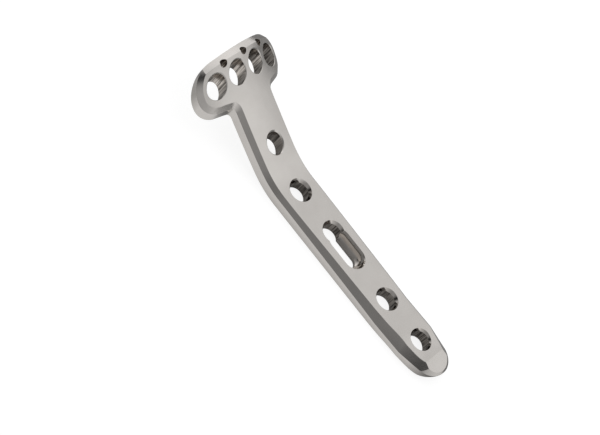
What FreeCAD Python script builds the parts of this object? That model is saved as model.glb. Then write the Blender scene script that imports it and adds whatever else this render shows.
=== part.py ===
import FreeCAD, Part
import math
import os
import Sketcher

# T-shaped bone plate for a wrist or ankle end of a bone, milled from one bar.
# Millimetres. +Z is the outer face, the one away from the bone; the flat run of the
# underside lies in Z = 0. +Y runs along the shaft to the wide head, X across.
# The origin is on the underside, between the second shaft hole and the slot.

os.makedirs("parts", exist_ok=True)
doc = FreeCAD.newDocument("BonePlate")
V = FreeCAD.Vector

# --- driving sizes ---
sheet = doc.addObject("Spreadsheet::Sheet", "Sizes")
SIZES = [
    # blank: side profile, straight runs joined by arcs
    ("thickness", 3.44, "plate thickness, square to the outer face"),
    ("seat_allowance", 0.06, "milled off the underside's flat run"),
    ("tip_kink_y", -8.6, "where the run of the end hole turns up"),
    ("tip_rise", 3.8, "degrees that the end run rises to the tip"),
    ("tip_kink_radius", 60.0, "outer face radius at that turn"),
    ("bend_y", 30.8, "where shaft and neck planes cross"),
    ("bend_angle", 24.6, "degrees from shaft to neck"),
    ("bend_radius", 21.0, "outer face radius of the bend"),
    ("head_kink_y", 51.8, "where neck and head planes cross"),
    ("head_angle", 35.4, "degrees from shaft to head"),
    ("head_kink_radius", 54.0, "outer face radius at that turn"),
    ("crown_bend", 98.0, "radius across the end of the bend"),
    ("crown_neck", 38.0, "radius across the neck"),
    ("crown_root", 29.0, "radius across the root of the head"),
    ("crown_row", 26.5, "radius across the head's row of holes"),
    ("crown_end", 19.8, "radius across the head's far edge"),
    # outline seen from above
    ("shaft_width", 12.76, "width of shaft and neck"),
    ("tip_y", -27.45, "end of the tip"),
    ("tip_radius", 5.33, "round end of the tip"),
    ("tip_taper", 10.9, "degrees of each tapered side"),
    ("head_end_y", 60.8, "far edge of the head"),
    ("lobe_reach", 13.8, "half width of the head"),
    ("lobe_y", 55.0, "height of the lower lobe arc centre"),
    ("lobe_radius", 4.5, "lower arc of each lobe"),
    ("lobe_shoulder", 5.3, "upper arc of each lobe"),
    ("lobe_slope", 13.8, "degrees of the edge from lobe to neck"),
    ("neck_fillet", 1.4, "inside corner between neck and head"),
    # edges
    ("bevel", 1.05, "edge bevel of neck and head"),
    ("bevel_tip", 1.85, "edge bevel at the tip"),
    ("facet_spread", 6.5, "degrees that the tip's bevel widens by towards its end"),
    ("bevel_slot", 1.22, "edge bevel beside the slot"),
    ("bevel_slot_y", 11.8, "where it is that wide"),
    ("bevel_shaft", 1.5, "edge bevel on the shaft"),
    ("bevel_shaft_y", -4.2, "where it is that wide"),
    ("bevel_kink", 1.63, "edge bevel where the end run turns up"),
    ("end_bevel_y", 58.9, "where the wide bevel of the head begins"),
    ("end_bevel_fall", 27.0, "degrees that it falls"),
    ("end_bevel_crown", 22.4, "radius across that bevel"),
    ("nose_y", -21.6, "where the outer face falls to the tip"),
    ("nose_fall", 13.0, "degrees of that fall"),
    ("under_break", 0.16, "edge break round the underside"),
    # screw holes
    ("bore", 5.0, "bore of every round screw hole"),
    ("sink", 6.0, "countersink of the shaft holes"),
    ("sink_depth", 0.8, "its depth"),
    ("collar_neck", 0.28, "edge break of the hole in the neck"),
    ("collar_head", 0.17, "edge break of the holes in the head"),
    ("end_hole_y", -18.2, "hole next to the tip"),
    ("second_hole_y", -6.0, "next hole"),
    ("slot_hole_y", 13.9, "round end of the combined slot"),
    ("bend_hole_y", 26.15, "hole at the bend"),
    ("neck_hole_y", 38.3, "hole in the neck"),
    ("head_row_y", 55.5, "row of four holes in the head"),
    ("head_inner_x", 3.2, "inner holes of that row"),
    ("head_outer_x", 9.4, "outer holes of that row"),
    # compression slot
    ("slot_low_y", 6.3, "ball centre at the tip end of the slot"),
    ("slot_high_y", 11.45, "ball centre at its head end"),
    ("slot_rim", 6.1, "width of the slot at the outer face"),
    ("slot_ball", 5.6, "width of the rounded trough"),
    ("slot_ball_depth", 0.32, "depth of the ball centre"),
    ("slot_through", 3.3, "width of the through slot"),
    # wire holes
    ("wire_bore", 1.8, "wire hole"),
    ("wire_y", 58.75, "row of three wire holes"),
    ("wire_x", 6.25, "outer wire holes"),
]
for row, (name, value, note) in enumerate(SIZES, start=1):
    sheet.set("A%d" % row, note)
    sheet.set("B%d" % row, str(value))
    sheet.setAlias("B%d" % row, name)
doc.recompute()


def size(name):
    return float(getattr(sheet, name))


def rad(name):
    return math.radians(size(name))


body = doc.addObject("PartDesign::Body", "bone_plate")
body.Label = "bone_plate"
planes = {f.Role: f for f in body.Origin.OriginFeatures}


def sketch_on(role, name):
    """A sketch of the body on one of its own origin planes."""
    sk = body.newObject("Sketcher::SketchObject", name)
    sk.AttachmentSupport = [(planes[role], "")]
    sk.MapMode = "FlatFace"
    return sk


def feature(kind, name, profile):
    feat = body.newObject("PartDesign::" + kind, name)
    feat.Profile = profile
    return feat


def polygon(sk, points):
    """Closed run of straight lines; returns the index of the first line."""
    first = sk.GeometryCount
    count = len(points)
    for i in range(count):
        a, b = points[i], points[(i + 1) % count]
        sk.addGeometry(Part.LineSegment(V(a[0], a[1], 0), V(b[0], b[1], 0)), False)
    for i in range(count):
        nxt = first + (i + 1) % count
        sk.addConstraint(Sketcher.Constraint("Coincident", first + i, 2, nxt, 1))
    return first


def bind(sk, constraint, name, expression):
    """Adds a named dimension and ties it to the sheet."""
    index = sk.addConstraint(constraint)
    sk.renameConstraint(index, name)
    sk.setExpression("Constraints." + name, expression)
    return index


def cell(name):
    return "Sizes." + name


def degrees(name):
    return "Sizes.%s * 1 deg" % name


# --- blank: a bent and crowned bar, lofted through cross-sections ---
# A turn is (corner y, corner z, angle before, angle after, radius), as expressions
# for the sections' places and as numbers for what is drawn beside them.
NECK_RISE = "(%s - %s) * tan(%s)" % (cell("head_kink_y"), cell("bend_y"), degrees("bend_angle"))
TURNS = {
    "tip": (cell("tip_kink_y"), cell("thickness"), "-" + degrees("tip_rise"), "0 deg",
            cell("tip_kink_radius")),
    "bend": (cell("bend_y"), cell("thickness"), "0 deg", degrees("bend_angle"),
             cell("bend_radius")),
    "head": (cell("head_kink_y"), cell("thickness") + " + " + NECK_RISE,
             degrees("bend_angle"), degrees("head_angle"), cell("head_kink_radius")),
}


def on_arc(turn, share):
    """Place and angle of a section a share of the way round a turn."""
    cy, cz, before, after, radius = TURNS[turn]
    angle = "(%s + (%s - (%s)) * %g)" % (before, after, before, share)
    tangent = "%s * tan((%s - (%s)) / 2)" % (radius, after, before)
    y = "%s - %s * cos(%s) + %s * (sin(%s) - sin(%s))" % (
        cy, tangent, before, radius, angle, before)
    z = "%s - %s * sin(%s) + %s * (cos(%s) - cos(%s))" % (
        cz, tangent, before, radius, before, angle)
    return y, z, angle


def on_run(turn, side, distance):
    """Place and angle of a section on the straight run before or after a turn."""
    cy, cz, before, after, radius = TURNS[turn]
    angle = before if side == "before" else after
    y = "%s + %g * cos(%s)" % (cy, distance, angle)
    z = "%s + %g * sin(%s)" % (cz, distance, angle)
    return y, z, "(%s)" % angle


# each section: place, then the crown as shares of named radii; no share means flat
FLAT = {}
SECTIONS = [(on_run("tip", "before", d), FLAT) for d in (-24.0, -16.0, -8.0)]
SECTIONS += [(on_arc("tip", share), FLAT) for share in (0.0, 0.5, 1.0)]
SECTIONS += [(on_run("bend", "before", d), FLAT) for d in (-34.0, -24.0, -12.0)]
SECTIONS += [
    (on_arc("bend", 0.0), FLAT),
    (on_arc("bend", 0.25), {"crown_bend": 0.30}),
    (on_arc("bend", 0.5), {"crown_bend": 0.55}),
    (on_arc("bend", 0.75), {"crown_bend": 0.83}),
    (on_arc("bend", 1.0), {"crown_bend": 0.70, "crown_neck": 0.20}),
    (on_run("bend", "after", 12.0), {"crown_neck": 0.98}),
    (on_arc("head", 0.0), {"crown_neck": 0.66, "crown_root": 0.38}),
    (on_arc("head", 0.25), {"crown_neck": 0.3, "crown_root": 0.7}),
    (on_arc("head", 0.5), {"crown_root": 1.0}),
    (on_arc("head", 0.75), {"crown_root": 0.6, "crown_row": 0.4}),
    (on_arc("head", 1.0), {"crown_row": 0.95, "crown_end": 0.05}),
    (on_run("head", "after", 9.0), {"crown_end": 1.0}),
    (on_run("head", "after", 18.0), {"crown_end": 1.0}),
]
BLANK_SPARE = 1.6  # the blank is this much wider than the head on each side


def across_offset(sk, y, z, angle="0 deg"):
    """Places a sketch of the XZ plane at a height and distance along the plate."""
    sk.AttachmentOffset = FreeCAD.Placement(V(0, 0, 0), FreeCAD.Rotation(V(1, 0, 0), 1))
    sk.setExpression("AttachmentOffset.Base.y", z)
    sk.setExpression("AttachmentOffset.Base.z", "-(%s)" % y)
    sk.setExpression("AttachmentOffset.Rotation.Angle", angle)


# top and bottom run from right (1) to left (2); the right and left sides close them
CORNERS = [
    Sketcher.Constraint("Coincident", 0, 1, 2, 1),
    Sketcher.Constraint("Coincident", 2, 2, 1, 1),
    Sketcher.Constraint("Coincident", 1, 2, 3, 1),
    Sketcher.Constraint("Coincident", 3, 2, 0, 2),
    Sketcher.Constraint("Vertical", 2),
    Sketcher.Constraint("Vertical", 3),
]


def section_sketch(number, place, crown):
    """One cross-section: outer arc, two sides and the same arc a thickness below."""
    sk = sketch_on("XZ_Plane", "Section%02d" % number)
    across_offset(sk, *place)
    half = size("lobe_reach") + BLANK_SPARE
    thick = size("thickness") + size("seat_allowance")
    depth = "(%s + %s)" % (cell("thickness"), cell("seat_allowance"))
    curve = sum(share / size(name) for name, share in crown.items())
    if curve == 0:
        for level in (0, -thick):
            sk.addGeometry(Part.LineSegment(V(half, level, 0), V(-half, level, 0)), False)
        sk.addGeometry(Part.LineSegment(V(half, 0, 0), V(half, -thick, 0)), False)
        sk.addGeometry(Part.LineSegment(V(-half, -thick, 0), V(-half, 0, 0)), False)
        sk.addConstraint(CORNERS + [
            Sketcher.Constraint("Horizontal", 1),
            Sketcher.Constraint("PointOnObject", 0, 1, -1),
            Sketcher.Constraint("Symmetric", 0, 1, 0, 2, -2),
        ])
        bind(sk, Sketcher.Constraint("DistanceX", 0, 2, 0, 1, 2 * half), "Across",
             "2 * (%s + %g)" % (cell("lobe_reach"), BLANK_SPARE))
        bind(sk, Sketcher.Constraint("DistanceY", 2, 2, 2, 1, thick), "Thick", depth)
        return sk
    radius = 1 / curve
    reach = math.asin(half / radius)
    drop = radius - radius * math.cos(reach)
    up = math.pi / 2
    for level in (0, -thick):
        circle = Part.Circle(V(0, level - radius, 0), V(0, 0, 1), radius)
        sk.addGeometry(Part.ArcOfCircle(circle, up - reach, up + reach), False)
    sk.addGeometry(Part.LineSegment(V(half, -drop, 0), V(half, -drop - thick, 0)), False)
    sk.addGeometry(Part.LineSegment(V(-half, -drop - thick, 0), V(-half, -drop, 0)), False)
    sk.addConstraint(CORNERS + [
        Sketcher.Constraint("PointOnObject", 0, 3, -2),
        Sketcher.Constraint("PointOnObject", 1, 3, -2),
        Sketcher.Constraint("Equal", 0, 1),
    ])
    shares = "1 / (%s)" % " + ".join("%g / %s" % (share, cell(name))
                                     for name, share in crown.items())
    bind(sk, Sketcher.Constraint("Radius", 0, radius), "Crown", shares)
    bind(sk, Sketcher.Constraint("DistanceY", 0, 3, -1, 1, radius), "Level", shares)
    bind(sk, Sketcher.Constraint("DistanceX", 0, 2, 0, 1, 2 * half), "Across",
         "2 * (%s + %g)" % (cell("lobe_reach"), BLANK_SPARE))
    bind(sk, Sketcher.Constraint("DistanceY", 1, 3, 0, 3, thick), "Thick", depth)
    return sk


sections = [section_sketch(n, *s) for n, s in enumerate(SECTIONS)]
doc.recompute()
blank = feature("AdditiveLoft", "Blank", sections[0])
blank.Sections = sections[1:]
blank.Ruled = False
doc.recompute()


def run_height(y):
    """Height of the outer face on the middle line, from the side profile's runs."""
    thick = size("thickness")
    if y < size("tip_kink_y"):
        return thick + (size("tip_kink_y") - y) * math.tan(rad("tip_rise"))
    neck = (y - size("bend_y")) * math.tan(rad("bend_angle"))
    if y < size("bend_y"):
        return thick
    if y < size("head_kink_y"):
        return thick + neck
    corner = (size("head_kink_y") - size("bend_y")) * math.tan(rad("bend_angle"))
    return thick + corner + (y - size("head_kink_y")) * math.tan(rad("head_angle"))


# --- outline, cut square to the shaft ---
def outline_edges():
    """Right half of the outline from the tip to the middle of the head's far edge."""
    half = size("shaft_width") / 2
    edges = []
    tip_r = size("tip_radius")
    taper = rad("tip_taper")
    tip_c = V(0, size("tip_y") + tip_r, 0)
    edges.append(("arc", tip_c, tip_r, -math.pi / 2, -taper))
    side = tip_c + V(math.cos(-taper), math.sin(-taper), 0) * tip_r
    taper_y = side.y + (half - side.x) / math.tan(taper)
    full = V(half, taper_y, 0)
    edges.append(("line", side, full))
    slope = rad("lobe_slope")
    down = V(math.sin(slope), -math.cos(slope), 0)
    lobe_r = size("lobe_radius")
    lobe_c = V(size("lobe_reach") - lobe_r, size("lobe_y"), 0)
    low = lobe_c + down * lobe_r
    fil = size("neck_fillet")
    fil_x = half + fil
    fil_c = V(fil_x, low.y + ((fil_x - low.x) * down.x - fil) / -down.y, 0)
    foot = fil_c - down * fil
    edges.append(("line", full, V(half, fil_c.y, 0)))
    edges.append(("cove", fil_c, fil, math.pi / 2 + slope, math.pi))
    edges.append(("line", foot, low))
    edges.append(("arc", lobe_c, lobe_r, slope - math.pi / 2, 0))
    sh = size("lobe_shoulder")
    sh_c = V(size("lobe_reach") - sh, size("head_end_y") - sh, 0)
    edges.append(("line", V(size("lobe_reach"), lobe_c.y, 0), V(size("lobe_reach"), sh_c.y, 0)))
    edges.append(("arc", sh_c, sh, 0, math.pi / 2))
    edges.append(("line", V(sh_c.x, size("head_end_y"), 0), V(0, size("head_end_y"), 0)))
    return edges, taper_y


def draw_half(sk, edges, flip):
    """Draws one half of the outline; flip mirrors it across the middle."""
    made = []
    for edge in edges:
        if edge[0] == "line":
            a, b = edge[1], edge[2]
            line = Part.LineSegment(V(flip * a.x, a.y, 0), V(flip * b.x, b.y, 0))
            made.append(sk.addGeometry(line, False))
            continue
        centre, radius, start, end = edge[1:]
        if flip < 0:
            start, end = math.pi - end, math.pi - start
        circle = Part.Circle(V(flip * centre.x, centre.y, 0), V(0, 0, 1), radius)
        made.append(sk.addGeometry(Part.ArcOfCircle(circle, start, end), False))
    return made


def ends(sk, index):
    return [(index, p, sk.getPoint(index, p)) for p in (1, 2)]


def join(sk, chain):
    """Ties the ends of neighbouring pieces that meet."""
    for a, b in zip(chain, chain[1:] + chain[:1]):
        pairs = [(p, q) for p in ends(sk, a) for q in ends(sk, b)]
        near = min(pairs, key=lambda pq: (pq[0][2] - pq[1][2]).Length)
        sk.addConstraint(Sketcher.Constraint(
            "Coincident", near[0][0], near[0][1], near[1][0], near[1][1]))


edges, taper_y = outline_edges()
prism_body = doc.addObject("PartDesign::Body", "OutlinePrism")
prism_plane = [f for f in prism_body.Origin.OriginFeatures if f.Role == "XY_Plane"]
outline = prism_body.newObject("Sketcher::SketchObject", "Outline")
outline.AttachmentSupport = [(prism_plane[0], "")]
outline.MapMode = "FlatFace"
right = draw_half(outline, edges, 1)
left = draw_half(outline, edges, -1)
join(outline, right + left[::-1])
(tip_arc, taper_line, side_line, cove_arc, slope_line, lobe_arc, lobe_line, shoulder_arc,
 far_line) = range(9)
for half_chain in (right, left):
    bind(outline, Sketcher.Constraint("Radius", half_chain[tip_arc], size("tip_radius")),
         "TipRadius%d" % half_chain[0], cell("tip_radius"))
    bind(outline, Sketcher.Constraint("Radius", half_chain[cove_arc], size("neck_fillet")),
         "NeckFillet%d" % half_chain[0], cell("neck_fillet"))
    bind(outline, Sketcher.Constraint("Radius", half_chain[lobe_arc], size("lobe_radius")),
         "LobeRadius%d" % half_chain[0], cell("lobe_radius"))
    bind(outline, Sketcher.Constraint("Radius", half_chain[shoulder_arc], size("lobe_shoulder")),
         "Shoulder%d" % half_chain[0], cell("lobe_shoulder"))
    outline.addConstraint(Sketcher.Constraint("Vertical", half_chain[side_line]))
    outline.addConstraint(Sketcher.Constraint("Vertical", half_chain[lobe_line]))
bind(outline, Sketcher.Constraint(
    "DistanceX", left[side_line], 1, right[side_line], 1, size("shaft_width")),
    "ShaftWidth", cell("shaft_width"))
bind(outline, Sketcher.Constraint(
    "DistanceX", left[lobe_line], 1, right[lobe_line], 1, 2 * size("lobe_reach")),
    "HeadWidth", "2 * " + cell("lobe_reach"))
prism = prism_body.newObject("PartDesign::Pad", "Prism")
prism.Profile = outline
prism.Midplane = True
prism.Length = 120
doc.recompute()
trim = body.newObject("PartDesign::Boolean", "Trim")
trim.setObjects([prism_body])
trim.Type = "Common"
doc.recompute()


# --- edge bevel all round the outer face ---
def rim_edges(shape, outer):
    """Names of the edges round the outer face or round the underside."""
    faces = []
    for face in shape.Faces:
        u0, u1, v0, v1 = face.ParameterRange
        up = face.normalAt((u0 + u1) / 2, (v0 + v1) / 2).z
        if (up > 0.5) == outer and abs(up) > 0.5:
            faces.append(face)
    rim = max(faces, key=lambda f: f.Area).OuterWire.Edges
    return ["Edge%d" % n for n, edge in enumerate(shape.Edges, start=1)
            if any(edge.isSame(e) for e in rim)]


def chamfer(name, base, names, width):
    cut = body.newObject("PartDesign::Chamfer", name)
    cut.Base = (base, names)
    cut.setExpression("Size", cell(width))
    doc.recompute()
    return cut


edge_bevel = chamfer("EdgeBevel", trim, rim_edges(trim.Shape, True), "bevel")
under = chamfer("UnderBreak", edge_bevel, rim_edges(edge_bevel.Shape, False), "under_break")

# --- the bevel widens towards the tip ---
SPARE = 1.0  # cutters stand this far out of the plate
TIP_FACE = "%s + (%s - (%s)) * tan(%s)"
TAPER_Y = "%s + %s - %s * sin(%s) + (%s / 2 - %s * cos(%s)) / tan(%s)" % (
    cell("tip_y"), cell("tip_radius"), cell("tip_radius"), degrees("tip_taper"),
    cell("shaft_width"), cell("tip_radius"), degrees("tip_taper"), degrees("tip_taper"))
BEVEL_LAST = 32.0  # the tapered run of the bevel is drawn on to here, past the tip
STATIONS = [
    (cell("bend_hole_y"), cell("bevel") + " * 0.97"),
    (cell("bevel_slot_y"), cell("bevel_slot")),
    (cell("bevel_shaft_y"), cell("bevel_shaft")),
    (cell("tip_kink_y"), cell("bevel_kink")),
    (TAPER_Y, cell("bevel_tip")),
    ("-%g" % BEVEL_LAST, cell("bevel_tip")),
]
RISING, TAPERED = 4, 5  # from these stations on the face rises and the side tapers
wedges = []
for n, (y, leg) in enumerate(STATIONS):
    sk = sketch_on("XZ_Plane", "Wedge%d" % n)
    height = cell("thickness")
    if n >= RISING:
        height = TIP_FACE % (cell("thickness"), cell("tip_kink_y"), y, degrees("tip_rise"))
    across_offset(sk, y, height)
    edge = cell("shaft_width") + " / 2"
    spread = "0"
    if n >= TAPERED:
        beyond = "(%s + %g)" % (TAPER_Y, BEVEL_LAST)
        edge += " - %s * tan(%s)" % (beyond, degrees("tip_taper"))
        spread = "%s * tan(%s)" % (beyond, degrees("facet_spread"))
    x, k = 6.0, 3.0
    polygon(sk, [(x - k, SPARE), (x, SPARE - k), (x, SPARE)])
    sk.addConstraint([Sketcher.Constraint("Vertical", 1), Sketcher.Constraint("Horizontal", 2)])
    bind(sk, Sketcher.Constraint("DistanceX", -1, 1, 2, 1, x), "Edge",
         "%s + %g" % (edge, SPARE))
    bind(sk, Sketcher.Constraint("DistanceY", -1, 1, 2, 1, SPARE), "Above", "%g" % SPARE)
    # the slanted side passes through the bevel's two edges
    steep = "((%s) / (%s + %s))" % (leg, leg, spread)
    bind(sk, Sketcher.Constraint("DistanceY", 1, 1, 1, 2, k), "Down",
         "%s + %g + %g * %s" % (leg, SPARE, SPARE, steep))
    bind(sk, Sketcher.Constraint("DistanceX", 0, 1, 2, 1, k), "In",
         "%s + %s + %g + %g / %s" % (leg, spread, SPARE, SPARE, steep))
    wedges.append(sk)
doc.recompute()
widen = feature("SubtractiveLoft", "BevelWidens", wedges[0])
widen.Sections = wedges[1:]
widen.Ruled = True
doc.recompute()
both = body.newObject("PartDesign::Mirrored", "BevelBothSides")
both.Originals = [widen]
both.MirrorPlane = (planes["YZ_Plane"], [""])
body.Tip = both
doc.recompute()

# --- tip: a cone carries the bevel round the end, then the outer face falls away ---
def bound_point(sk, index, point, name, y_expression, z_expression):
    """Ties a point of a sketch on the YZ plane to the sheet."""
    at = sk.getPoint(index, point)
    bind(sk, Sketcher.Constraint("DistanceX", -1, 1, index, point, at.x), name + "Y",
         y_expression)
    bind(sk, Sketcher.Constraint("DistanceY", -1, 1, index, point, at.y), name + "Z",
         z_expression)


TIP_CENTRE = cell("tip_y") + " + " + cell("tip_radius")
TANGENT_Y = "(%s - %s * sin(%s))" % (TIP_CENTRE, cell("tip_radius"), degrees("tip_taper"))
RIM_Z = TIP_FACE % (cell("thickness"), cell("tip_kink_y"), TANGENT_Y, degrees("tip_rise"))
RIM_Z = "%s - %s" % (RIM_Z, cell("bevel_tip"))
CONE_RISE = 6.0
tip_centre_y = size("tip_y") + size("tip_radius")
tangent_y = tip_centre_y - size("tip_radius") * math.sin(rad("tip_taper"))
rim_z = run_height(tangent_y) - size("bevel_tip")
outside = size("tip_y") - SPARE
cone = sketch_on("YZ_Plane", "TipCone")
polygon(cone, [(outside, rim_z - SPARE), (outside + CONE_RISE, rim_z - SPARE + CONE_RISE),
               (outside, rim_z - SPARE + CONE_RISE)])
cone.addConstraint([
    Sketcher.Constraint("Horizontal", 1),
    Sketcher.Constraint("Vertical", 2),
    Sketcher.Constraint("Equal", 1, 2),
])
bound_point(cone, 0, 1, "Foot", "%s - %g" % (cell("tip_y"), SPARE), "%s - %g" % (RIM_Z, SPARE))
bind(cone, Sketcher.Constraint("DistanceX", 1, 2, 1, 1, CONE_RISE), "Rise", "%g" % CONE_RISE)
cone.addGeometry(Part.LineSegment(V(tip_centre_y, 0, 0), V(tip_centre_y, 9, 0)), True)
cone.addConstraint(Sketcher.Constraint("Vertical", 3))
bound_point(cone, 3, 1, "Axis", TIP_CENTRE, "1 * 0")
tip_bevel = feature("Groove", "TipBevel", cone)
tip_bevel.ReferenceAxis = (cone, ["Axis0"])
tip_bevel.Midplane = True
tip_bevel.setExpression("Angle", "180 - 2 * " + cell("tip_taper"))
doc.recompute()

nose = sketch_on("YZ_Plane", "NoseFall")
nose_y, nose_z = size("nose_y"), run_height(size("nose_y"))
fall = math.tan(rad("nose_fall"))
ahead, behind = 3.0, 9.0
polygon(nose, [(nose_y + ahead, nose_z + ahead * fall), (nose_y - behind, nose_z - behind * fall),
               (nose_y - behind, nose_z + ahead * fall)])
nose.addConstraint([Sketcher.Constraint("Vertical", 1), Sketcher.Constraint("Horizontal", 2)])
NOSE_Z = TIP_FACE % (cell("thickness"), cell("tip_kink_y"), cell("nose_y"), degrees("tip_rise"))
bound_point(nose, 0, 1, "High", "%s + %g" % (cell("nose_y"), ahead),
            "%s + %g * tan(%s)" % (NOSE_Z, ahead, degrees("nose_fall")))
bound_point(nose, 0, 2, "Low", "%s - %g" % (cell("nose_y"), behind),
            "%s - %g * tan(%s)" % (NOSE_Z, behind, degrees("nose_fall")))
nose_cut = feature("Pocket", "Nose", nose)
nose_cut.Midplane = True
nose_cut.Length = 40
doc.recompute()

# --- wide bevel along the far edge of the head, crowned less than the head ---
HEAD_Z = "%s + %s + (%s - %s) * tan(%s)" % (
    cell("thickness"), NECK_RISE, cell("end_bevel_y"), cell("head_kink_y"),
    degrees("head_angle"))
BACK = 3.0  # the cutter starts this far before the bevel
end_sketch = sketch_on("XZ_Plane", "EndBevelSection")
across_offset(
    end_sketch,
    "%s - %g * cos(%s)" % (cell("end_bevel_y"), BACK, degrees("end_bevel_fall")),
    "%s + %g * sin(%s)" % (HEAD_Z, BACK, degrees("end_bevel_fall")),
    "-" + degrees("end_bevel_fall"))
end_half = size("lobe_reach") + SPARE
end_radius = size("end_bevel_crown")
end_reach = math.asin(end_half / end_radius)
end_drop = end_radius * (1 - math.cos(end_reach))
circle = Part.Circle(V(0, -end_radius, 0), V(0, 0, 1), end_radius)
end_sketch.addGeometry(Part.ArcOfCircle(
    circle, math.pi / 2 - end_reach, math.pi / 2 + end_reach), False)
high = 8.0
for a, b in (((end_half, -end_drop), (end_half, high)), ((end_half, high), (-end_half, high)),
             ((-end_half, high), (-end_half, -end_drop))):
    end_sketch.addGeometry(Part.LineSegment(V(a[0], a[1], 0), V(b[0], b[1], 0)), False)
end_sketch.addConstraint([
    Sketcher.Constraint("Coincident", 0, 1, 1, 1),
    Sketcher.Constraint("Coincident", 1, 2, 2, 1),
    Sketcher.Constraint("Coincident", 2, 2, 3, 1),
    Sketcher.Constraint("Coincident", 3, 2, 0, 2),
    Sketcher.Constraint("Vertical", 1),
    Sketcher.Constraint("Horizontal", 2),
    Sketcher.Constraint("Vertical", 3),
    Sketcher.Constraint("PointOnObject", 0, 3, -2),
])
bind(end_sketch, Sketcher.Constraint("Radius", 0, end_radius), "Crown",
     cell("end_bevel_crown"))
bind(end_sketch, Sketcher.Constraint("DistanceY", 0, 3, -1, 1, end_radius), "Level",
     cell("end_bevel_crown"))
bind(end_sketch, Sketcher.Constraint("DistanceX", 0, 2, 0, 1, 2 * end_half), "Across",
     "2 * (%s + %g)" % (cell("lobe_reach"), SPARE))
bind(end_sketch, Sketcher.Constraint("DistanceY", -1, 1, 1, 2, high), "High", "%g" % high)
end_bevel = feature("Pocket", "EndBevel", end_sketch)
end_bevel.Length = 14
doc.recompute()

# --- round bores, all square to the shaft ---
def circle_at(sk, x, y, r, name, x_expression, y_expression, diameter):
    index = sk.addGeometry(Part.Circle(V(x, y, 0), V(0, 0, 1), r), False)
    bind(sk, Sketcher.Constraint("Diameter", index, 2 * r), name + "D", diameter)
    if x == 0:
        sk.addConstraint(Sketcher.Constraint("PointOnObject", index, 3, -2))
    elif x > 0:
        bind(sk, Sketcher.Constraint("DistanceX", -1, 1, index, 3, x), name + "X", x_expression)
    else:
        bind(sk, Sketcher.Constraint("DistanceX", index, 3, -1, 1, -x), name + "X",
             x_expression)
    if y > 0:
        bind(sk, Sketcher.Constraint("DistanceY", -1, 1, index, 3, y), name + "Y", y_expression)
    else:
        bind(sk, Sketcher.Constraint("DistanceY", index, 3, -1, 1, -y), name + "Y",
             "-" + y_expression)


bores = sketch_on("XY_Plane", "Bores")
SHAFT_HOLES = ["end_hole_y", "second_hole_y", "slot_hole_y", "bend_hole_y", "neck_hole_y"]
for name in SHAFT_HOLES:
    circle_at(bores, 0, size(name), size("bore") / 2, name.replace("_", ""), "", cell(name),
              cell("bore"))
for name in ("head_inner_x", "head_outer_x"):
    for side, tag in ((-1, "L"), (1, "R")):
        circle_at(bores, side * size(name), size("head_row_y"), size("bore") / 2,
                  name.replace("_", "") + tag, cell(name), cell("head_row_y"), cell("bore"))
for x, tag in ((-size("wire_x"), "L"), (0, "M"), (size("wire_x"), "R")):
    circle_at(bores, x, size("wire_y"), size("wire_bore") / 2, "wire" + tag, cell("wire_x"),
              cell("wire_y"), cell("wire_bore"))
bore_cut = feature("Pocket", "BoreCut", bores)
bore_cut.Midplane = True
bore_cut.Length = 120
doc.recompute()


# --- countersinks of the shaft holes ---
def sink(name, hole, face_z, face_height):
    """Cone from the outer face down to the bore, turned about the hole's own axis."""
    sk = sketch_on("YZ_Plane", name + "Section")
    y0, depth = size(hole), size("sink_depth")
    r, flare = size("bore") / 2, (size("sink") - size("bore")) / 2 / size("sink_depth")
    low, top = face_height - depth, face_height + SPARE
    polygon(sk, [(y0, low), (y0 + r, low), (y0 + r + flare * (depth + SPARE), top), (y0, top)])
    sk.addConstraint([
        Sketcher.Constraint("Horizontal", 0),
        Sketcher.Constraint("Horizontal", 2),
        Sketcher.Constraint("Vertical", 3),
    ])
    bound_point(sk, 0, 1, "Axis", cell(hole), "%s - %s" % (face_z, cell("sink_depth")))
    bind(sk, Sketcher.Constraint("DistanceX", 0, 1, 0, 2, r), "Bore", cell("bore") + " / 2")
    bind(sk, Sketcher.Constraint("DistanceY", 3, 2, 3, 1, depth + SPARE), "Deep",
         "%s + %g" % (cell("sink_depth"), SPARE))
    wide = "%s / 2 + (%s - %s) / 2 / %s * (%s + %g)" % (
        cell("bore"), cell("sink"), cell("bore"), cell("sink_depth"), cell("sink_depth"), SPARE)
    bind(sk, Sketcher.Constraint("DistanceX", 2, 2, 2, 1, r + flare * (depth + SPARE)), "Wide",
         wide)
    sk.addGeometry(Part.LineSegment(V(y0, low - 3, 0), V(y0, low - 1, 0)), True)
    sk.addConstraint(Sketcher.Constraint("Vertical", 4))
    bind(sk, Sketcher.Constraint("DistanceX", -1, 1, 4, 1, y0), "Line", cell(hole))
    cut = feature("Groove", name, sk)
    cut.ReferenceAxis = (sk, ["Axis0"])
    cut.Angle = 360
    doc.recompute()
    return cut


END_Z = TIP_FACE % (cell("thickness"), cell("tip_kink_y"), cell("end_hole_y"),
                    degrees("tip_rise"))
sink("EndSink", "end_hole_y", END_Z, run_height(size("end_hole_y")))
sink("SecondSink", "second_hole_y", cell("thickness"), size("thickness"))
sink("SlotSink", "slot_hole_y", cell("thickness"), size("thickness"))
sink("BendSink", "bend_hole_y", cell("thickness"), size("thickness"))


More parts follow.
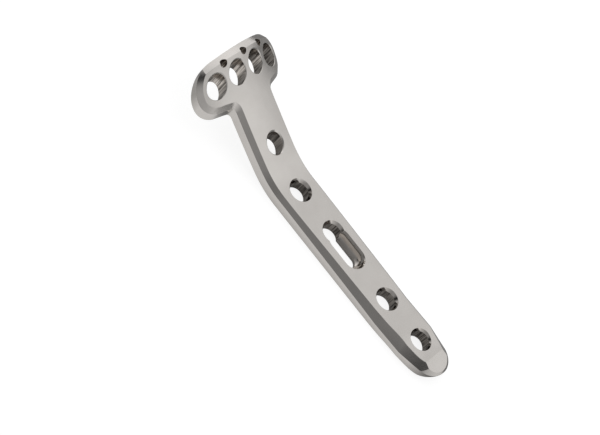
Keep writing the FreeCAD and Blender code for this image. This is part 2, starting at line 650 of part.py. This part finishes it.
# --- compression slot: rim bevel, ball-milled trough and through slot ---
def slot_outline(sk, low_y, high_y, r, diameter, low_expression, high_expression):
    """Two straight sides joined by half circles."""
    ends_at = ((high_y, 0), (low_y, math.pi))
    for y, turn in ends_at:
        circle = Part.Circle(V(0, y, 0), V(0, 0, 1), r)
        sk.addGeometry(Part.ArcOfCircle(circle, turn, turn + math.pi), False)
    sk.addGeometry(Part.LineSegment(V(-r, high_y, 0), V(-r, low_y, 0)), False)
    sk.addGeometry(Part.LineSegment(V(r, low_y, 0), V(r, high_y, 0)), False)
    sk.addConstraint([
        Sketcher.Constraint("Tangent", 0, 2, 2, 1),
        Sketcher.Constraint("Tangent", 2, 2, 1, 1),
        Sketcher.Constraint("Tangent", 1, 2, 3, 1),
        Sketcher.Constraint("Tangent", 3, 2, 0, 1),
        Sketcher.Constraint("PointOnObject", 0, 3, -2),
        Sketcher.Constraint("PointOnObject", 1, 3, -2),
    ])
    bind(sk, Sketcher.Constraint("Diameter", 0, 2 * r), "Wide", diameter)
    bind(sk, Sketcher.Constraint("DistanceY", -1, 1, 1, 3, low_y), "Low", low_expression)
    bind(sk, Sketcher.Constraint("DistanceY", -1, 1, 0, 3, high_y), "High", high_expression)


slot_low, slot_high = size("slot_low_y"), size("slot_high_y")
through = sketch_on("XY_Plane", "SlotThroughOutline")
slot_outline(through, slot_low, size("slot_hole_y"), size("slot_through") / 2,
             cell("slot_through"), cell("slot_low_y"), cell("slot_hole_y"))
through_cut = feature("Pocket", "SlotThrough", through)
through_cut.Midplane = True
through_cut.Length = 60
doc.recompute()

ball_z = size("thickness") - size("slot_ball_depth")
ball_r = size("slot_ball") / 2
trough = sketch_on("YZ_Plane", "TroughSection")
for y, start in ((slot_low, math.pi / 2), (slot_high, 0)):
    circle = Part.Circle(V(y, ball_z, 0), V(0, 0, 1), ball_r)
    trough.addGeometry(Part.ArcOfCircle(circle, start, start + math.pi / 2), False)
trough.addGeometry(Part.LineSegment(
    V(slot_high, ball_z + ball_r, 0), V(slot_low, ball_z + ball_r, 0)), False)
trough.addGeometry(Part.LineSegment(
    V(slot_low - ball_r, ball_z, 0), V(slot_high + ball_r, ball_z, 0)), False)
trough.addConstraint([
    Sketcher.Constraint("Tangent", 0, 1, 2, 2),
    Sketcher.Constraint("Tangent", 2, 1, 1, 2),
    Sketcher.Constraint("Coincident", 0, 2, 3, 1),
    Sketcher.Constraint("Coincident", 3, 2, 1, 1),
    Sketcher.Constraint("PointOnObject", 0, 3, 3),
    Sketcher.Constraint("PointOnObject", 1, 3, 3),
    Sketcher.Constraint("Horizontal", 3),
])
bind(trough, Sketcher.Constraint("Radius", 0, ball_r), "Ball", cell("slot_ball") + " / 2")
bind(trough, Sketcher.Constraint("DistanceX", -1, 1, 0, 3, slot_low), "Low", cell("slot_low_y"))
bind(trough, Sketcher.Constraint("DistanceX", -1, 1, 1, 3, slot_high), "High",
     cell("slot_high_y"))
bind(trough, Sketcher.Constraint("DistanceY", -1, 1, 0, 3, ball_z), "Level",
     "%s - %s" % (cell("thickness"), cell("slot_ball_depth")))
trough_cut = feature("Groove", "SlotTrough", trough)
trough.addGeometry(Part.LineSegment(V(slot_low, ball_z, 0), V(slot_high, ball_z, 0)), True)
trough.addConstraint([
    Sketcher.Constraint("Coincident", 4, 1, 0, 3),
    Sketcher.Constraint("Coincident", 4, 2, 1, 3),
])
trough_cut.ReferenceAxis = (trough, ["Axis0"])
trough_cut.Angle = 360
doc.recompute()

RIM_SPARE = 0.2
rim_flare = "(%s - %s) / 2 / %s" % (cell("slot_rim"), cell("slot_ball"), cell("slot_ball_depth"))
flare = (size("slot_rim") - size("slot_ball")) / 2 / size("slot_ball_depth")
rims = []
for name, level, wide, wide_expression in (
        ("SlotRimTop", "%s + %g" % (cell("thickness"), RIM_SPARE),
         size("slot_rim") + 2 * flare * RIM_SPARE,
         "%s + 2 * %s * %g" % (cell("slot_rim"), rim_flare, RIM_SPARE)),
        ("SlotRimLow", "%s - %s" % (cell("thickness"), cell("slot_ball_depth")),
         size("slot_ball"), cell("slot_ball"))):
    sk = sketch_on("XY_Plane", name)
    sk.setExpression("AttachmentOffset.Base.z", level)
    slot_outline(sk, slot_low, slot_high, wide / 2, wide_expression, cell("slot_low_y"),
                 cell("slot_high_y"))
    rims.append(sk)
doc.recompute()
rim_cut = feature("SubtractiveLoft", "SlotRim", rims[0])
rim_cut.Sections = rims[1:]
rim_cut.Ruled = True
doc.recompute()


# --- the flat run of the underside is milled true ---
SEAT_LOW, SEAT_ON = 20.0, 4.0  # the cutter's run passes both ends of the flat
seat = sketch_on("XY_Plane", "SeatOutline")
seat_x, seat_high = size("shaft_width") / 2 + SPARE, size("bend_y") + SEAT_ON
polygon(seat, [(-seat_x, -SEAT_LOW), (seat_x, -SEAT_LOW), (seat_x, seat_high),
               (-seat_x, seat_high)])
seat.addConstraint([
    Sketcher.Constraint("Vertical", 1),
    Sketcher.Constraint("Horizontal", 2),
    Sketcher.Constraint("Vertical", 3),
    Sketcher.Constraint("Symmetric", 0, 1, 0, 2, -2),
])
bind(seat, Sketcher.Constraint("DistanceX", 0, 1, 0, 2, 2 * seat_x), "Wide",
     "%s + %g" % (cell("shaft_width"), 2 * SPARE))
bind(seat, Sketcher.Constraint("DistanceY", 0, 1, -1, 1, SEAT_LOW), "Low", "%g" % SEAT_LOW)
bind(seat, Sketcher.Constraint("DistanceY", -1, 1, 2, 1, seat_high), "High",
     "%s + %g" % (cell("bend_y"), SEAT_ON))
seat_cut = feature("Pocket", "Seat", seat)
seat_cut.Length = 3
doc.recompute()


# --- narrow edge breaks where the neck and head holes meet the outer face ---
def outer_height(x, y):
    """Height of the crowned outer face of neck and head."""
    share = min(1, max(0, (y - size("bend_y")) / (size("head_kink_y") - size("bend_y"))))
    radius = size("crown_neck") + (size("crown_row") - size("crown_neck")) * share
    drop = radius - math.sqrt(radius ** 2 - x ** 2)
    return run_height(y) - drop / math.cos(rad("head_angle"))


def hole_rims(shape, places):
    """Names of the edges where bores at the given places meet the outer face."""
    names = []
    for n, edge in enumerate(shape.Edges, start=1):
        halfway = (edge.FirstParameter + edge.LastParameter) / 2
        start = edge.valueAt(edge.FirstParameter)
        middle = edge.valueAt(halfway)
        if math.hypot(middle.x - start.x, middle.y - start.y) < 0.01:
            continue
        high = middle.z > outer_height(middle.x, middle.y) - 1.5
        for x, y in places:
            on_bore = abs(math.hypot(middle.x - x, middle.y - y) - size("bore") / 2) < 0.01
            if on_bore and high:
                names.append("Edge%d" % n)
    return names


neck_break = chamfer("NeckHoleBreak", seat_cut,
                     hole_rims(seat_cut.Shape, [(0, size("neck_hole_y"))]), "collar_neck")
row = [(side * size(x), size("head_row_y"))
       for x in ("head_inner_x", "head_outer_x") for side in (-1, 1)]
head_break = chamfer("HeadHoleBreak", neck_break, hole_rims(neck_break.Shape, row),
                     "collar_head")
body.Tip = head_break
doc.recompute()

# --- checks and export ---
for obj in doc.Objects:
    for state in ("Invalid", "Error"):
        if state in obj.State:
            raise RuntimeError("%s is %s" % (obj.Name, state))
if body.Shape.isNull() or not body.Shape.isValid() or len(body.Shape.Solids) != 1:
    raise RuntimeError("the plate is not one valid solid")
body.Shape.exportStep("parts/%s.step" % body.Label)
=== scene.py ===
import math

import bmesh
import bpy
from mathutils import Matrix, Vector


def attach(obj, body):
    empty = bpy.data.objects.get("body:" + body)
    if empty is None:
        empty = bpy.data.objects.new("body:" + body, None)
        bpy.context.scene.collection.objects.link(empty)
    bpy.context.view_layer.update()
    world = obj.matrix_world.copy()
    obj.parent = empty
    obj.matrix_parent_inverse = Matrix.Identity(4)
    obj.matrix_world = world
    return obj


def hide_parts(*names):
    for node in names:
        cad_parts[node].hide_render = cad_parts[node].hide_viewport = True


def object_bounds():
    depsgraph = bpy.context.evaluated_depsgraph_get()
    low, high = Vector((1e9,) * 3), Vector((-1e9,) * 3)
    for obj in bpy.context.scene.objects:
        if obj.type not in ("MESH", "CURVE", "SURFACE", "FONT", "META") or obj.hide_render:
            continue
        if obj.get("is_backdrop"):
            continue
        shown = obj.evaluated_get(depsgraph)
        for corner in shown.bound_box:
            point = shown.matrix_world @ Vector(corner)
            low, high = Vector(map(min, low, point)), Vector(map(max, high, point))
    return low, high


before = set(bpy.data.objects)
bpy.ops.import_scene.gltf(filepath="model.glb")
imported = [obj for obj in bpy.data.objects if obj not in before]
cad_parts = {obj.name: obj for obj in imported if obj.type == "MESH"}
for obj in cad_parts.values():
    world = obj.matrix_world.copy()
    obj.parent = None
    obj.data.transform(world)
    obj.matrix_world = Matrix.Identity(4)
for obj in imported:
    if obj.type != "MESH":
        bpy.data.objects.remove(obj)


def plain_box():
    """The lowest and highest corners of all that is there now, as plain numbers."""
    low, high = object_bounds()
    return [[float(v) for v in low], [float(v) for v in high]]


sizes = {"cad": plain_box()}
scene = bpy.context.scene


# Camera. It stands well above and to the left of the shaft and looks down on the outer
# face, with the head to the upper left, as the product view of the plate does.
camera_data = bpy.data.cameras.new("product_view")
camera = bpy.data.objects.new("product_view", camera_data)
scene.collection.objects.link(camera)
eye = Vector((-0.384235, -0.016226, 0.435507))
right_way = Vector((0.6154986, -0.6204763, 0.4859739))
up_way = Vector((0.4340887, 0.7815412, 0.4480628))
back_way = Vector((-0.6578210, -0.0648263, 0.7503793))
turn = Matrix((right_way, up_way, back_way)).transposed()
camera.matrix_world = Matrix.Translation(eye) @ turn.to_4x4()
camera_data.sensor_fit = "HORIZONTAL"
camera_data.sensor_width = 36.0
camera_data.lens = 149.97
camera_data.clip_start = 0.01
camera_data.clip_end = 20.0
scene.camera = camera
scene.view_settings.view_transform = "Standard"


# Plate. One bar of implant steel, bent, milled to its outline and bevels, then drilled and
# reamed. The surface is one closed skin with smooth faces between its milled edges.
MM = 0.001
SAME_POINT = 1e-7
MILLED_EDGE = math.radians(12)
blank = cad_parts["bone_plate"]
skin = bmesh.new()
skin.from_mesh(blank.data)
bmesh.ops.remove_doubles(skin, verts=skin.verts, dist=SAME_POINT)
skin.normal_update()
for edge in skin.edges:
    edge.smooth = edge.calc_face_angle(0.0) < MILLED_EDGE
for face in skin.faces:
    face.smooth = True

# every reamed hole as (across, along, radius) in millimetres
SCREW_BORE, WIRE_BORE = 2.5, 0.9
reamed = [(0.0, along, SCREW_BORE) for along in (-18.2, -6.0, 13.9, 26.15, 38.3)]
reamed += [(across, 55.5, SCREW_BORE) for across in (-9.4, -3.2, 3.2, 9.4)]
reamed += [(across, 58.75, WIRE_BORE) for across in (-6.25, 0.0, 6.25)]
# how near its radius a reamed wall stays, and how upright it is
WALL_NEAR, WALL_UPRIGHT = 0.03, 0.2
# the countersinks: all on the shaft, this far out from the bore, and between these slopes
SINK_WIDTH, SHAFT_END = 0.52, 30.0
SINK_STEEP, SINK_SHALLOW = 0.3, 0.8
# the ball-milled slot lies inside these limits, below the outer face
SLOT_ACROSS, SLOT_FROM, SLOT_TO = 3.04, 3.2, 16.6
SLOT_LOW, SLOT_HIGH = 0.02, 3.42
BLASTED, REAMED, TURNED = 0, 1, 2


def finish_of(face):
    """Tells a reamed wall and a turned countersink or slot from the blasted faces."""
    points = [v.co / MM for v in face.verts]
    middle = sum(points, Vector()) / len(points)
    for across, along, radius in reamed:
        gaps = [math.hypot(p.x - across, p.y - along) - radius for p in points]
        on_wall = max(gaps) < WALL_NEAR and min(gaps) > -WALL_NEAR
        if on_wall and abs(face.normal.z) < WALL_UPRIGHT:
            return REAMED
        in_sink = max(gaps) < SINK_WIDTH and middle.y < SHAFT_END
        if in_sink and SINK_STEEP < face.normal.z < SINK_SHALLOW:
            return TURNED
    in_slot = abs(middle.x) < SLOT_ACROSS and SLOT_FROM < middle.y < SLOT_TO
    return TURNED if in_slot and SLOT_LOW < middle.z < SLOT_HIGH else BLASTED


for face in skin.faces:
    face.material_index = finish_of(face)
plate_mesh = bpy.data.meshes.new("milled_plate")
skin.to_mesh(plate_mesh)
skin.free()
plate = bpy.data.objects.new("milled_plate", plate_mesh)
scene.collection.objects.link(plate)

tree = None


def bare_tree(owner):
    """Empties the node tree of a material or world and takes it in hand."""
    global tree
    owner.use_nodes = True
    tree = owner.node_tree
    tree.nodes.clear()


def node(kind, label, **values):
    """Adds a shader node to the tree in hand, with a label and its input values."""
    made = tree.nodes.new(kind)
    made.label = label
    for name, value in values.items():
        made.inputs[name.replace("_", " ")].default_value = value
    return made


def link(source, target):
    tree.links.new(source, target)


def steel(name, label, **values):
    """Starts a bare metal finish of the plate: its shader, and a place on the plate."""
    finish = bpy.data.materials.new(name)
    bare_tree(finish)
    surface = node("ShaderNodeOutputMaterial", "surface")
    shader = node("ShaderNodeBsdfPrincipled", label, Metallic=1.0, **values)
    link(shader.outputs["BSDF"], surface.inputs["Surface"])
    plate_mesh.materials.append(finish)
    return shader, node("ShaderNodeTexCoord", "place on the plate").outputs["Object"]


def colour_by(texture, shader, dark_at, dark, light_at, light):
    """Colours the steel between two tones by a texture."""
    tone = node("ShaderNodeValToRGB", "steel tone")
    for element, place, colour in zip(
            tone.color_ramp.elements, (dark_at, light_at), (dark, light)):
        element.position = place
        element.color = (*colour, 1)
    link(texture.outputs["Fac"], tone.inputs["Fac"])
    link(tone.outputs["Color"], shader.inputs["Base Color"])


def broken_edges(radius):
    """The look of edges that were broken by hand, with this radius in millimetres."""
    broken = node("ShaderNodeBevel", "hand-broken edges", Radius=radius * MM)
    broken.samples = 8
    return broken.outputs["Normal"]


# blasted faces: a grain far finer than a hole, and soft clouds left by the blasting
shader, on_plate = steel("blasted_implant_steel", "satin steel")
grain = node("ShaderNodeTexNoise", "blasted grain", Scale=5200.0, Detail=2.0, Roughness=0.55)
clouds = node("ShaderNodeTexNoise", "blasting clouds", Scale=260.0, Detail=3.0, Roughness=0.5)
for texture in (grain, clouds):
    link(on_plate, texture.inputs["Vector"])
colour_by(clouds, shader, 0.30, (0.612, 0.585, 0.557), 0.72, (0.645, 0.618, 0.590))
sheen = node("ShaderNodeMapRange", "roughness from the grain", From_Min=0.3, From_Max=0.7,
             To_Min=0.17, To_Max=0.21)
link(grain.outputs["Fac"], sheen.inputs["Value"])
link(sheen.outputs["Result"], shader.inputs["Roughness"])
relief = node("ShaderNodeBump", "grain relief", Strength=0.10, Distance=0.001 * MM)
link(grain.outputs["Fac"], relief.inputs["Height"])
link(broken_edges(0.09), relief.inputs["Normal"])
link(relief.outputs["Normal"], shader.inputs["Normal"])

# reamed walls: smoother, with dark and bright reflection streaks painted into the colour
# along the hole, and score lines in relief from the same texture
shader, on_plate = steel("reamed_implant_steel", "reamed steel", Roughness=0.12)
along_hole = node("ShaderNodeMapping", "long along the hole", Scale=(1.0, 1.0, 0.05))
link(on_plate, along_hole.inputs["Vector"])
score_and_painted_streaks = node("ShaderNodeTexNoise", "score lines and painted reflection streaks", Scale=3000.0, Detail=3.0, Roughness=0.6)
link(along_hole.outputs["Vector"], score_and_painted_streaks.inputs["Vector"])
# painted reflection: the dark and bright streaks are painted into the colour of the walls
colour_by(score_and_painted_streaks, shader, 0.40, (0.12, 0.108, 0.096), 0.58, (0.66, 0.61, 0.56))
relief = node("ShaderNodeBump", "score depth", Strength=0.8, Distance=0.05 * MM)
link(score_and_painted_streaks.outputs["Fac"], relief.inputs["Height"])
link(broken_edges(0.08), relief.inputs["Normal"])
link(relief.outputs["Normal"], shader.inputs["Normal"])

# countersinks and the slot: turned and ball-milled, left glossy, with faint tool marks
shader, on_plate = steel("turned_implant_steel", "turned steel", Roughness=0.07)
marks = node("ShaderNodeTexNoise", "tool marks", Scale=900.0, Detail=2.0, Roughness=0.5)
link(on_plate, marks.inputs["Vector"])
colour_by(marks, shader, 0.3, (0.50, 0.470, 0.440), 0.7, (0.58, 0.550, 0.520))
link(broken_edges(0.05), shader.inputs["Normal"])

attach(plate, "root")
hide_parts("bone_plate")


# Floor. A wide pale table that the flat run of the underside rests on. It shows as plain
# white and keeps the plate's soft contact shadow. In the steel it glows as a painted
# reflection, painted darker under the plate as painted shade, and past both its ends.
TABLE_WIDTH = 6.0
TABLE_GAP = 0.02 * MM
WHITE_LEVEL = 0.85
floor_level = sizes["cad"][0][2] - TABLE_GAP
bpy.ops.mesh.primitive_plane_add(size=TABLE_WIDTH, location=(0, 0, floor_level))
floor = bpy.context.object
floor.name = "table"
paper = bpy.data.materials.new("white_table")
bare_tree(paper)
surface = node("ShaderNodeOutputMaterial", "surface")
matt = node("ShaderNodeBsdfDiffuse", "matt paper", Color=(0.30, 0.30, 0.30, 1))
white_and_painted_reflection = node("ShaderNodeEmission", "white of the background and painted reflection in the steel", Color=(1, 1, 1, 1))
both = node("ShaderNodeAddShader", "paper and white")
link(matt.outputs[0], both.inputs[0])
link(white_and_painted_reflection.outputs[0], both.inputs[1])
link(both.outputs[0], surface.inputs["Surface"])
ray = node("ShaderNodeLightPath", "which ray")
place = node("ShaderNodeTexCoord", "place on the table")
apart = node("ShaderNodeSeparateXYZ", "across and along")
link(place.outputs["Object"], apart.inputs["Vector"])


def number(operation, label, first, second):
    """A sum in the tree in hand; each term is a socket or a plain number."""
    made = node("ShaderNodeMath", label)
    made.operation = operation
    for socket, term in zip(made.inputs, (first, second)):
        if isinstance(term, (int, float)):
            socket.default_value = term
        else:
            link(term, socket)
    return made.outputs[0]


# painted reflection of the floor in the steel, with painted shade under the plate and painted
# darkening past the tip and the head
# each: label, axis, from and to in millimetres, the levels there, and how it runs
levels = []
for label, axis, start, end, low, high, run in (
        ("painted shade under the plate", "X", -8.5, -1.5, 0.62, 0.10, "SMOOTHSTEP"),
        ("painted darker past the tip", "Y", -28.6, -21.0, 0.0, 1.0, "LINEAR"),
        ("painted darker past the head", "Y", 54.0, 64.0, 1.0, 0.45, "LINEAR")):
    fade = node("ShaderNodeMapRange", label, From_Min=start * MM, From_Max=end * MM,
                To_Min=low, To_Max=high)
    fade.interpolation_type = run
    link(apart.outputs[axis], fade.inputs["Value"])
    levels.append(fade.outputs["Result"])
ends = number("MULTIPLY", "both ends", levels[1], levels[2])
painted_darkening = number("MULTIPLY", "all of it", levels[0], ends)
# painted reflection: only rays seen in the steel get this dimmed glow
painted_reflection_level = number("MULTIPLY", "painted reflection seen in the steel", ray.outputs["Is Glossy Ray"], painted_darkening)
plain = number("MAXIMUM", "seen as it is", ray.outputs["Is Camera Ray"],
               ray.outputs["Is Transmission Ray"])
white = number("MULTIPLY", "white level", plain, WHITE_LEVEL)
link(number("ADD", "with the steel's", white, painted_reflection_level), white_and_painted_reflection.inputs["Strength"])
floor.data.materials.append(paper)
floor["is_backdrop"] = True


# Light. A soft room: an even pale sky, lighter on the right and past the head's far side,
# and dim where the viewer stands, beyond the left end of the head and low on the right.
EVEN_LEVEL = 0.75
DARKEST = 0.04
# each: height and bearing in degrees, how tight, and how much lighter or dimmer
SOFT_LIGHTS = [
    (55, -45, 6.0, 0.48),
    (40, -180, 6.0, -0.40),
    (25, 60, 6.0, 0.29),
    (-10, -90, 14.0, 0.60),
    (10, 135, 14.0, -0.73),
    (-10, -30, 28.0, -1.14),
    (55, -150, 28.0, -0.37),
    (-10, 30, 28.0, 0.57),
    (25, -150, 14.0, -0.15),
    (10, 75, 6.0, 0.59),
    (-10, -75, 28.0, 0.34),
    (63, -178, 60.0, -0.35),
]
room = bpy.data.worlds.new("soft_room")
scene.world = room
bare_tree(room)
surface = node("ShaderNodeOutputWorld", "room")
sky = node("ShaderNodeBackground", "room light")
link(sky.outputs[0], surface.inputs["Surface"])
way = node("ShaderNodeTexCoord", "direction in the room")
total = EVEN_LEVEL
for height, bearing, tight, level in SOFT_LIGHTS:
    up, round_it = math.radians(height), math.radians(bearing)
    facing = node("ShaderNodeVectorMath", "towards it")
    facing.operation = "DOT_PRODUCT"
    facing.inputs[1].default_value = (
        math.cos(up) * math.cos(round_it), math.cos(up) * math.sin(round_it), math.sin(up))
    link(way.outputs["Generated"], facing.inputs[0])
    spread = number("SUBTRACT", "away from it", facing.outputs["Value"], 1.0)
    spread = number("MULTIPLY", "tightness", spread, tight)
    spread = number("POWER", "soft edge", math.e, spread)
    spread = number("MULTIPLY", "level", spread, level)
    total = number("ADD", "with the rest", spread, total)
link(number("MAXIMUM", "never below dark", total, DARKEST), sky.inputs["Strength"])

sizes["visual"] = plain_box()
